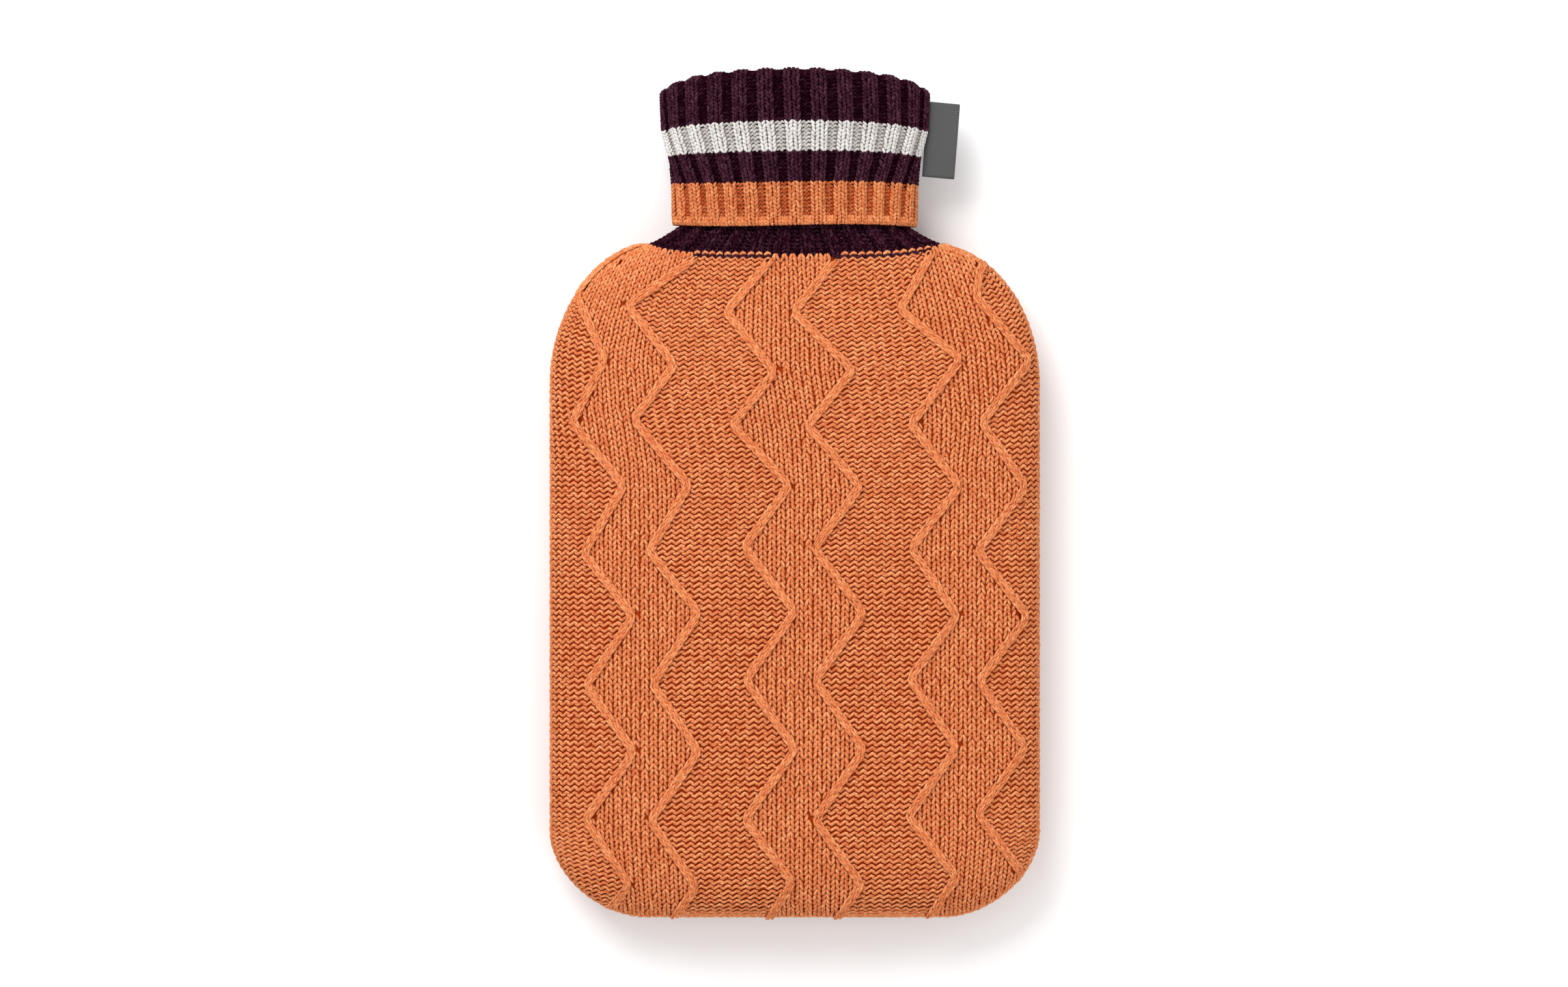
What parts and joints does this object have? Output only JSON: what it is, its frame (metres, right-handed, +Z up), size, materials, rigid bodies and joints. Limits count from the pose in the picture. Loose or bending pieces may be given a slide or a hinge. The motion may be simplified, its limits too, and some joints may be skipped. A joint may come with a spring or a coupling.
{
  "type": "knitted hot water bottle cover",
  "caption": "Knitted hot water bottle cover lying on its back, with zigzag cables on its front and a striped rib collar turned down over its neck. Hollow, and open at the collar.",
  "frame": {"origin": "on the surface the cover lies on, under the middle of its box", "axes": "+X across the front towards the side tab, +Y along the cover from its bottom edge to its collar, +Z up, out of the cable front"},
  "size_m": [0.2004, 0.3474, 0.0414],
  "materials": {
    "body_knit": "soft wool knit, orange",
    "collar_rib": "soft wool rib, plum, with a cream and an orange stripe",
    "tab_ribbon": "dark grey twill ribbon"
  },
  "bodies": {
    "root": {"front_panel": "body_knit", "back_panel": "body_knit", "rib_collar": "collar_rib", "side_tab": "tab_ribbon"}
  },
  "joints": []
}
